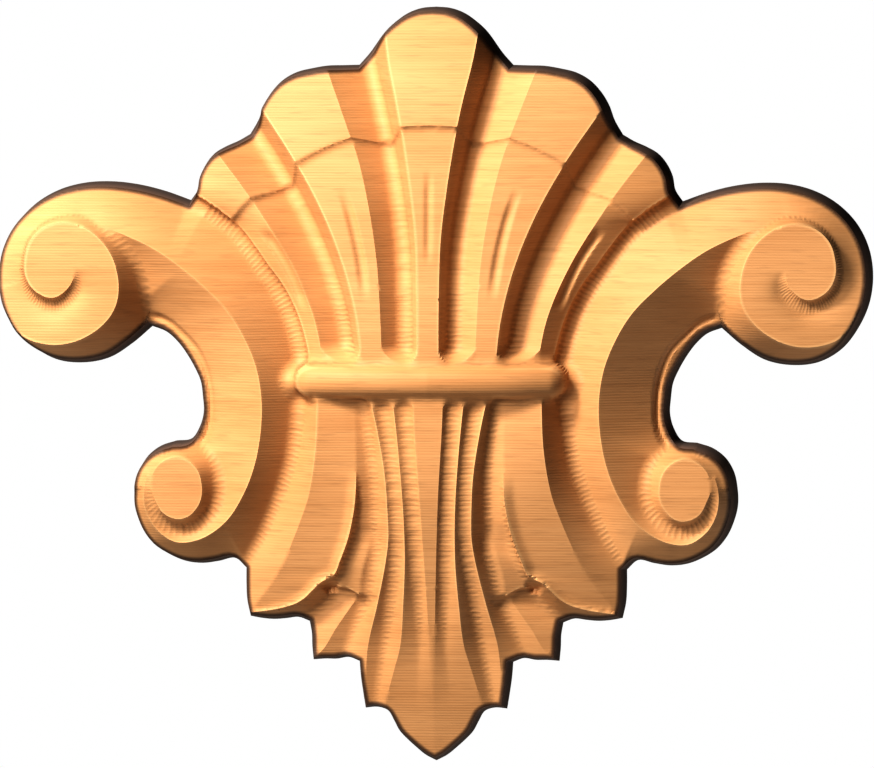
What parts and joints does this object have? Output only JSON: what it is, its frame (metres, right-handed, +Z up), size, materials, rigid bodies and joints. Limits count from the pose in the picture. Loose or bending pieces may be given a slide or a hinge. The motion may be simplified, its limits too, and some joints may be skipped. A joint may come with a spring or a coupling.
{
  "type": "carved cartouche rosette onlay",
  "caption": "Carved wooden onlay: a fluted shell above a leaf spray, banded at the waist and held between mirrored C-scrolls with volutes, with a flat back for gluing or pinning.",
  "frame": {"origin": "on the flat back, on the mirror line, level with the band across the waist", "axes": "+Z up, carved face towards -Y, flat back in the plane Y = 0, +X to the right of someone looking at the face"},
  "size_m": [0.2014, 0.0241, 0.174],
  "materials": {
    "carved_maple": "bare fine-grained light hardwood with a fine horizontal machine-carving texture"
  },
  "bodies": {
    "root": {"carved_ornament": "carved_maple"}
  },
  "joints": []
}
